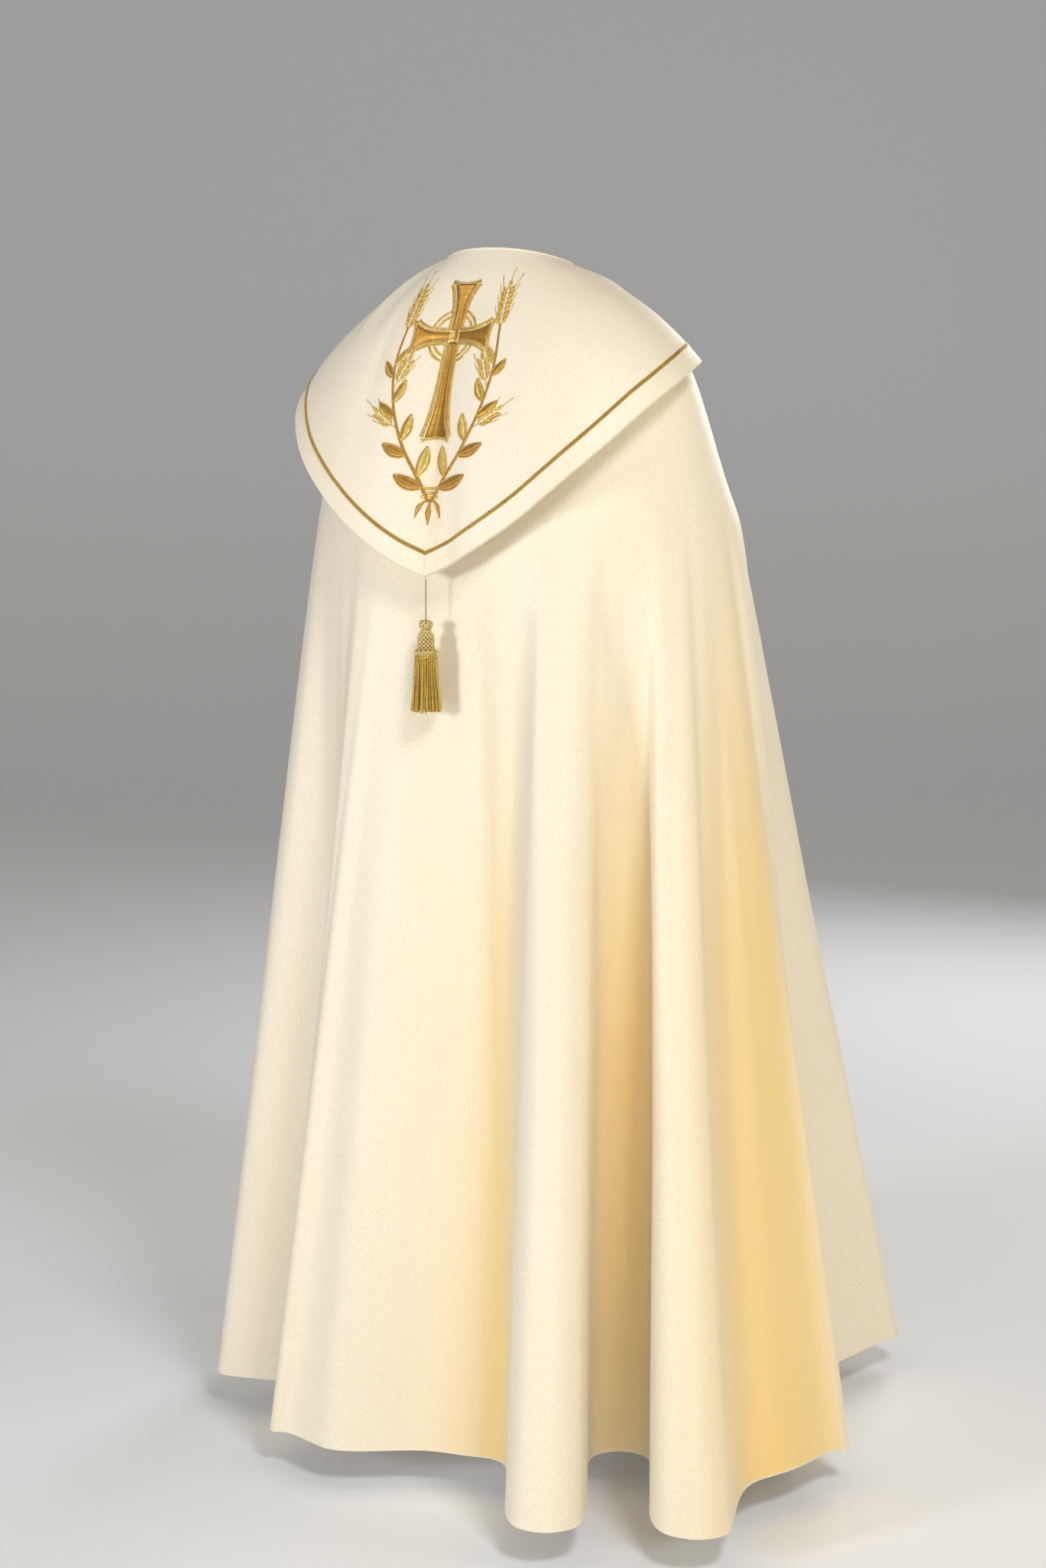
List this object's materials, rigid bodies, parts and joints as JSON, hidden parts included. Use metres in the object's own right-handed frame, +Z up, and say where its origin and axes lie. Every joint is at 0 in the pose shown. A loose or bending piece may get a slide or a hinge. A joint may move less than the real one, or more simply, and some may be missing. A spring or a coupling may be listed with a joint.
{
  "type": "cope vestment",
  "caption": "Cope in its worn form: a semicircular ceremonial cloak, open at the front and clasped at the chest, with a pointed shield-shaped hood edged in gold braid and a hanging tassel.",
  "frame": {"origin": "middle of the neckline, at the height of its centre back, where the wearer's neck and shoulders hold the cope", "axes": "+Z up, -Y the way the wearer faces, +Y the back with the hood, +X the wearer's left"},
  "size_m": [0.8703, 0.8402, 1.4159],
  "materials": {
    "ivory_cloth": "smooth satin-faced wool, soft sheen",
    "ivory_facing": "smooth satin-faced wool, matt side",
    "gold_braid": "ribbed metallic braid",
    "gold_thread": "twisted metallic thread",
    "brass_clasp": "polished"
  },
  "bodies": {
    "root": {"cope_body": "ivory_cloth", "hood": "ivory_cloth", "hood_facing": "ivory_facing", "hood_braid": "gold_braid", "neck_binding": "ivory_cloth", "tassel_cord": "gold_thread", "tassel": "gold_thread", "clasp_plate_left": "brass_clasp", "clasp_plate_right": "brass_clasp", "clasp_stud": "brass_clasp", "clasp_hook": "brass_clasp"}
  },
  "joints": []
}
